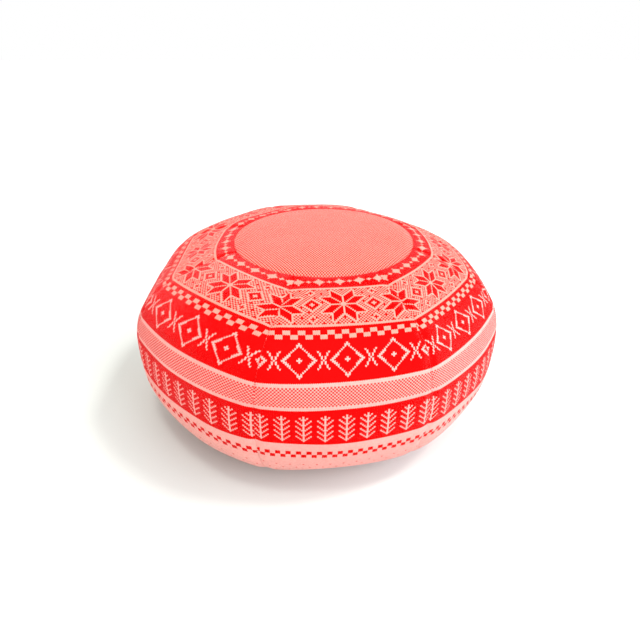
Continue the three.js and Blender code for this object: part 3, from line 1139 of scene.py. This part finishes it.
@dataclass
class RoundPanel:
    """A round panel, knitted flat in courses from edge to edge and cut to a circle."""

    cover: Cover
    name: str
    pale: Yarn
    wale: float
    course: float
    edge_sliver: float = 0.2 * MM  # how far in from the circle's ends the first course starts
    thickness: float = 3 * MM
    knit: FlatKnit = field(init=False)

    def flat_radius(self) -> float:
        """The panel's radius laid flat."""
        raise NotImplementedError

    def outside(self, across: np.ndarray, down: np.ndarray) -> np.ndarray:
        """Points of the knitted side from flat coordinates."""
        raise NotImplementedError

    def inside(self, across: np.ndarray, down: np.ndarray) -> np.ndarray:
        """Points of the hidden side from flat coordinates."""
        raise NotImplementedError

    def shown(self) -> np.ndarray:
        """Which faces of the knit are pale."""
        raise NotImplementedError

    def __post_init__(self) -> None:
        """Lays out the flat knit."""
        reach = self.flat_radius() - self.edge_sliver
        count = round(2 * reach / self.course)
        courses = np.linspace(-reach, reach, count + 1)
        self.knit = FlatKnit(self.wale, courses, np.sqrt(self.flat_radius() ** 2 - courses ** 2))

    def build(self) -> bpy.types.Object:
        """Builds the panel, closed by its hidden side, and gives it."""
        knit = self.knit
        panel = PanelMesh(knit, [self.outside(knit.across, knit.down)])
        row = knit.rim()
        across, down = knit.across[row], knit.down[row]
        for ring in HIDDEN_RINGS:
            inward = panel.add(self.inside(across * ring, down * ring))
            panel.bridge(row, inward, closed=True)
            row = inward
        tip = panel.add(self.inside(np.zeros(1), np.zeros(1)))[0]
        panel.fan(row, tip, closed=True)
        yarns = np.where(self.shown(), int(self.pale), int(Yarn.RED))
        return panel.build(self.name, yarns, self.pale)


@dataclass
class TopPanel(RoundPanel):
    """The domed round panel of the crown, in an even fine check of the two yarns."""

    name: str = "top_panel_knit"
    pale: Yarn = Yarn.CREAM
    wale: float = 1.7 * MM
    course: float = 1.3 * MM

    def flat_radius(self) -> float:
        """The distance over the dome from its middle to the ring seam."""
        return self.cover.section.crown_distance(self.cover.section.panel_radius)

    def outside(self, across: np.ndarray, down: np.ndarray) -> np.ndarray:
        """Points of the dome from flat coordinates."""
        return self.cover.on_top(across, down)

    def inside(self, across: np.ndarray, down: np.ndarray) -> np.ndarray:
        """Points under the dome from flat coordinates."""
        return self.cover.on_top(across, down, self.thickness)

    def shown(self) -> np.ndarray:
        """Every other stitch, moved over by one after every two courses."""
        return (self.knit.face_wale + self.knit.face_course // 2) % 2 == 0


@dataclass
class BasePanel(RoundPanel):
    """The flat round panel that the pouf stands on, in plain pale knit."""

    name: str = "base_panel_knit"
    pale: Yarn = Yarn.PINK
    wale: float = 1.9 * MM
    course: float = 2.4 * MM

    def flat_radius(self) -> float:
        """The panel's radius."""
        return self.cover.section.panel_radius

    def outside(self, across: np.ndarray, down: np.ndarray) -> np.ndarray:
        """Points of the lower side from flat coordinates."""
        return np.stack([across, down, self.cover.base_lift(np.hypot(across, down))], axis=-1)

    def inside(self, across: np.ndarray, down: np.ndarray) -> np.ndarray:
        """Points of the upper side from flat coordinates."""
        return np.stack([across, down, np.full_like(across, self.thickness)], axis=-1)

    def shown(self) -> np.ndarray:
        """All of them."""
        return np.full(len(self.knit.faces), True)


def stitching_tree() -> bpy.types.NodeTree:
    """Builds the node tree that sews along a seam: a bent piece of thread at every pitch.

    Returns:
        The tree. Its Geometry input is lines with the point attribute "outward".
    """
    bends, sides = 5, 5  # along and round a piece of thread
    sizes = ("Pitch", "Reach", "Slant", "Rise", "Thread Radius", "Unevenness")
    kinds = {"Geometry": "Geometry", **dict.fromkeys(sizes, "Float"), "Seed": "Int",
             "Thread": "Material"}
    tree = bpy.data.node_groups.new("Seam Stitches", "GeometryNodeTree")
    for name, kind in kinds.items():
        tree.interface.new_socket(name, in_out="INPUT", socket_type=f"NodeSocket{kind}")
    tree.interface.new_socket("Geometry", in_out="OUTPUT", socket_type="NodeSocketGeometry")
    nodes = Nodes(tree)
    given = nodes.add("NodeGroupInput").outputs
    lines = nodes.add("GeometryNodeMeshToCurve", {"Mesh": given["Geometry"]})
    places = nodes.add("GeometryNodeCurveToPoints",
                       {"Curve": lines.outputs[0], "Length": given["Pitch"]}, mode="LENGTH")
    sunk = nodes.math("MULTIPLY", given["Rise"], -1)
    start, end = (nodes.vector(nodes.math("MULTIPLY", given["Slant"], side),
                               nodes.math("MULTIPLY", given["Reach"], side), sunk)
                  for side in (-1, 1))
    raised = nodes.vector(0.0, 0.0, nodes.math("MULTIPLY", given["Rise"], 2))
    bend = nodes.add("GeometryNodeCurveQuadraticBezier", {
        "Resolution": bends, "Start": start, "Middle": raised, "End": end})
    section = nodes.add("GeometryNodeCurvePrimitiveCircle", {
        "Resolution": sides, "Radius": given["Thread Radius"]})
    stitch = nodes.add("GeometryNodeCurveToMesh", {
        "Curve": bend.outputs[0], "Profile Curve": section.outputs[0], "Fill Caps": True})
    outward = nodes.add("GeometryNodeInputNamedAttribute", {"Name": "outward"},
                        data_type="FLOAT_VECTOR")
    upright = nodes.add("FunctionNodeAlignRotationToVector",
                        {"Vector": outward.outputs["Attribute"]}, axis="Z")
    along = nodes.add("FunctionNodeAlignRotationToVector", {
        "Rotation": upright.outputs[0], "Vector": places.outputs["Tangent"]},
        axis="X", pivot_axis="Z")
    chance = nodes.add("FunctionNodeRandomValue", {
        "Min": nodes.math("SUBTRACT", 1, given["Unevenness"]),
        "Max": nodes.math("ADD", 1, given["Unevenness"]), "Seed": given["Seed"]},
        data_type="FLOAT")
    sewn = nodes.add("GeometryNodeInstanceOnPoints", {
        "Points": places.outputs["Points"], "Instance": stitch.outputs[0],
        "Rotation": along.outputs[0], "Scale": chance.outputs["Value"]})
    real = nodes.add("GeometryNodeRealizeInstances", {0: sewn.outputs[0]})
    coloured = nodes.add("GeometryNodeSetMaterial", {
        "Geometry": real.outputs[0], "Material": given["Thread"]})
    nodes.add("NodeGroupOutput", {0: coloured.outputs[0]})
    return tree


@dataclass(frozen=True)
class ThreadFinish:
    """Sewing yarn: two plies of fibre, matt, a little lighter and darker along its length."""

    name: str
    colour: Colour
    roughness: float = 0.9
    fuzz: float = 0.16
    unevenness: float = 0.25
    fibre_scale: float = 1800  # fibres to the metre
    relief: float = 0.1 * MM

    def material(self) -> bpy.types.Material:
        """Builds the material."""
        made, nodes, shader = matt_material(self.name, self.roughness, self.fuzz)
        place = nodes.add("ShaderNodeTexCoord").outputs["Object"]
        fibres = nodes.add("ShaderNodeTexNoise", {"Vector": place, "Scale": self.fibre_scale})
        height = fibres.outputs["Fac"]
        darker = [channel * (1 - self.unevenness) for channel in self.colour]
        nodes.feed(shader.inputs["Base Color"],
                   nodes.mix(height, (*darker, 1), (*self.colour, 1)))
        nodes.feed(shader.inputs["Normal"], nodes.bump(height, self.relief))
        return made


@dataclass
class Seams:
    """The sewing that joins the panels, set along each seam by a node tree."""

    cover: Cover
    step: float = 3 * MM  # between the points of a seam's line
    beside: float = 1.5 * MM  # how far from the seam the cloth's slant is taken
    foot_start: float = 221 * MM  # down a gore, where the pale foot starts
    end_above_floor: float = 4 * MM
    settings: dict[str, float] = field(default_factory=lambda: {
        "Pitch": 4 * MM, "Reach": 1.1 * MM, "Slant": 0.6 * MM, "Rise": 0.3 * MM,
        "Thread Radius": 0.28 * MM, "Unevenness": 0.15, "Seed": 3})

    def _lines(self, name: str, lines: list[tuple[np.ndarray, np.ndarray, bool]]) -> bpy.types.Object:
        """An object with the seams' lines.

        Args:
            name: its name.
            lines: each line's points, the directions across it, and whether it closes.

        Returns:
            The object, with the outward directions on its points.
        """
        points, outward, edges = [], [], []
        count = 0
        for line, across, closed in lines:
            ahead = np.roll(line, -1, axis=0) - np.roll(line, 1, axis=0)
            if not closed:
                ahead[0], ahead[-1] = line[1] - line[0], line[-1] - line[-2]
            out = np.cross(ahead, across)
            out /= np.linalg.norm(out, axis=1, keepdims=True)
            from_middle = line - np.array([0, 0, self.cover.section.foot_drop])
            out *= np.sign((out * from_middle).sum(axis=1, keepdims=True))
            points.append(line)
            outward.append(out)
            last = len(line) if closed else len(line) - 1
            edges += [(count + k, count + (k + 1) % len(line)) for k in range(last)]
            count += len(line)
        mesh = new_mesh(name, np.concatenate(points), edges, [])
        attribute = mesh.attributes.new("outward", "FLOAT_VECTOR", "POINT")
        attribute.data.foreach_set("vector", np.concatenate(outward).astype(np.float32).ravel())
        return new_object(name, mesh)

    def _sew(self, name: str, lines: bpy.types.Object, tree: bpy.types.NodeTree,
             thread: bpy.types.Material) -> bpy.types.Object:
        """Sews along lines and makes the stitches a piece.

        Args:
            name: the piece's name.
            lines: the seams' lines, which are used up.
            tree: the node tree that sews.
            thread: the thread's material.

        Returns:
            The piece.
        """
        sewing = lines.modifiers.new("sewing", "NODES")
        sewing.node_group = tree
        values = {**self.settings, "Thread": thread}
        for item in tree.interface.items_tree:
            if item.name in values:
                sewing[item.identifier] = values[item.name]
        shaped = lines.evaluated_get(bpy.context.evaluated_depsgraph_get())
        mesh = bpy.data.meshes.new_from_object(shaped)
        mesh.materials.clear()  # with the empty slot that the line had
        mesh.materials.append(thread)
        piece = new_object(name, mesh)
        bpy.data.objects.remove(lines)
        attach(piece, BODY)
        return piece

    def side(self, name: str, start: float, end: float, tree: bpy.types.NodeTree,
             thread: bpy.types.Material) -> bpy.types.Object:
        """Sews the gores to each other.

        Args:
            name: the piece's name.
            start: the distance s at which the thread starts.
            end: the distance s at which it ends, or the floor if that comes first.
            tree: the node tree that sews.
            thread: the thread's material.

        Returns:
            The piece.
        """
        cover = self.cover
        s = np.arange(start, end, self.step)
        lines = []
        for gore in range(len(cover.cuts)):
            offset = self.beside / cover.half_width(s)
            line = (cover.on_gore(gore, s, np.full_like(s, -1))
                    + cover.on_gore(gore - 1, s, np.ones_like(s))) / 2
            across = cover.on_gore(gore, s, offset - 1) - cover.on_gore(gore - 1, s, 1 - offset)
            clear = line[:, 2] > self.end_above_floor
            lines.append((line[clear], across[clear], False))
        return self._sew(name, self._lines(f"{name}_lines", lines), tree, thread)

    def ring(self, tree: bpy.types.NodeTree, thread: bpy.types.Material) -> bpy.types.Object:
        """Sews the top panel to the gores."""
        cover, section = self.cover, self.cover.section
        count = round(WHOLE_TURN * section.panel_radius / self.step)
        azimuth = np.arange(count) * WHOLE_TURN / count
        panel = section.crown_distance(section.panel_radius)
        edges = [cover.on_top(reach * np.sin(azimuth), reach * np.cos(azimuth))
                 for reach in (panel - self.beside, panel)]
        lines = [(edges[1], edges[1] - edges[0], True)]
        return self._sew("ring_seam", self._lines("ring_seam_line", lines), tree, thread)

    def build(self) -> list[bpy.types.Object]:
        """Sews all the seams and gives the pieces."""
        section = self.cover.section
        tree = stitching_tree()
        red = ThreadFinish("red_thread", KnitFinish.red).material()
        pink = ThreadFinish("pink_thread", KnitFinish.pink).material()
        foot = section.ring_s + self.foot_start
        return [self.side("side_seams", section.ring_s, foot, tree, red),
                self.side("foot_seams", foot, section.floor_s, tree, pink),
                self.ring(tree, red)]


@dataclass(frozen=True)
class Light:
    """A soft light, far away.

    Attributes:
        name: its name.
        azimuth: where it stands, in degrees from the front towards +X.
        height: how high it stands, in degrees above the floor.
        strength: how bright it makes a white surface that faces it.
        colour: its colour.
        spread: how wide it is, in degrees as seen from the pouf.
    """

    name: str
    azimuth: float
    height: float
    strength: float
    colour: Colour
    spread: float = 50

    def build(self) -> bpy.types.Object:
        """Sets up the light and gives it."""
        lamp = bpy.data.lights.new(self.name, "SUN")
        lamp.angle = math.radians(self.spread)
        lamp.energy = self.strength * math.pi
        lamp.color = self.colour
        light = new_object(self.name, lamp)
        turn, rise = math.radians(self.azimuth), math.radians(self.height)
        towards = Vector((math.sin(turn) * math.cos(rise), -math.cos(turn) * math.cos(rise),
                          math.sin(rise)))
        light.rotation_euler = towards.to_track_quat("Z", "Y").to_euler()
        return light


@dataclass
class Studio:
    """The camera, the floor and the lights of a high-key product photograph."""

    target: Vector = field(default_factory=lambda: Vector((0, 0, 123 * MM)))
    distance: float = 759.5 * MM
    elevation: float = 30.2  # degrees
    focal: float = 29.32 * MM
    sensor: float = 36 * MM
    nearest: float = 10 * MM  # that the camera sees
    frame_pixels: float = 640
    target_pixel: tuple[float, float] = (316.7, 313.8)  # where the photograph has the target
    floor_reach: float = 6.0
    floor_colour: Colour = (0.51, 0.535, 0.51)
    floor_roughness: float = 0.95
    floor_gloss: float = 0.1
    lights: tuple[Light, ...] = (
        Light("backdrop", 178, 20, 0.4, (1, 1, 0.92)),
        Light("window", 60, 28, 1.05, (1, 0.97, 1.05)),
        Light("side", 105, 14, 1.05, (0.97, 0.97, 1.15)),
        Light("fill", 310, 6, 0.65, (1, 1, 0.96)),
        Light("right_lamp", 84, 59, 0.48, (1, 1, 0.97), spread=9),
        Light("front_lamp", 8, 73, 0.26, (1, 1, 0.97), spread=9),
    )

    def camera(self) -> bpy.types.Object:
        """Sets up the camera and gives it."""
        lens = bpy.data.cameras.new("camera")
        lens.sensor_width = self.sensor / MM
        lens.lens = self.focal / MM
        lens.clip_start = self.nearest
        right, down = (self.frame_pixels / 2 - pixel for pixel in self.target_pixel)
        lens.shift_x = right / self.frame_pixels
        lens.shift_y = -down / self.frame_pixels
        camera = new_object("camera", lens)
        pitch = math.radians(self.elevation)
        back = Vector((0, -math.cos(pitch), math.sin(pitch))) * self.distance
        camera.location = self.target + back
        camera.rotation_euler = (math.pi / 2 - pitch, 0, 0)
        bpy.context.scene.camera = camera
        return camera

    def floor(self) -> bpy.types.Object:
        """Lays the floor and gives it."""
        corners = np.array([(-1, -1, 0), (1, -1, 0), (1, 1, 0), (-1, 1, 0)])
        mesh = new_mesh("floor", corners * self.floor_reach, [], [(0, 1, 2, 3)])
        paint, _, shader = matt_material("floor_white", self.floor_roughness, 0.0, self.floor_gloss)
        shader.inputs["Base Color"].default_value = (*self.floor_colour, 1)
        mesh.materials.append(paint)
        floor = new_object("floor", mesh)
        return floor

    def light(self) -> None:
        """Sets the lights, the white surround and the plain colour rendering."""
        for light in self.lights:
            light.build()
        world = bpy.data.worlds.new("surround")
        world.use_nodes = True
        surround = world.node_tree.nodes["Background"]
        surround.inputs["Color"].default_value = (1, 1, 1, 1)
        surround.inputs["Strength"].default_value = 1
        bpy.context.scene.world = world
        bpy.context.scene.view_settings.view_transform = "Standard"


def report(piece: bpy.types.Object) -> None:
    """Logs a finished piece."""
    triangles = sum(len(face.vertices) - 2 for face in piece.data.polygons)
    log.info("%s: %d triangles", piece.name, triangles)


def main() -> None:
    """Builds the pouf, piece by piece."""
    logging.basicConfig(level=logging.INFO, format="%(name)s %(message)s")
    studio = Studio()
    studio.camera()
    studio.floor()
    studio.light()
    cover = Cover(Section())
    cover.drift = Settling(cover).run()
    stitch = stitch_group()
    side_finish = KnitFinish("side_knit").material(stitch)
    gores = SideGores(cover)
    for gore in range(len(cover.cuts)):
        piece = gores.build(gore)
        dress(piece, side_finish, f"side_gore_{gore + 1}")
        report(piece)
    top = TopPanel(cover).build()
    dress(top, KnitFinish("top_knit", seed=1.0).material(stitch), "top_panel")
    report(top)
    base = BasePanel(cover).build()
    dress(base, KnitFinish("base_knit", seed=2.0).material(stitch), "base_panel")
    report(base)
    for piece in Seams(cover).build():
        report(piece)


if __name__ == "__main__":
    main()
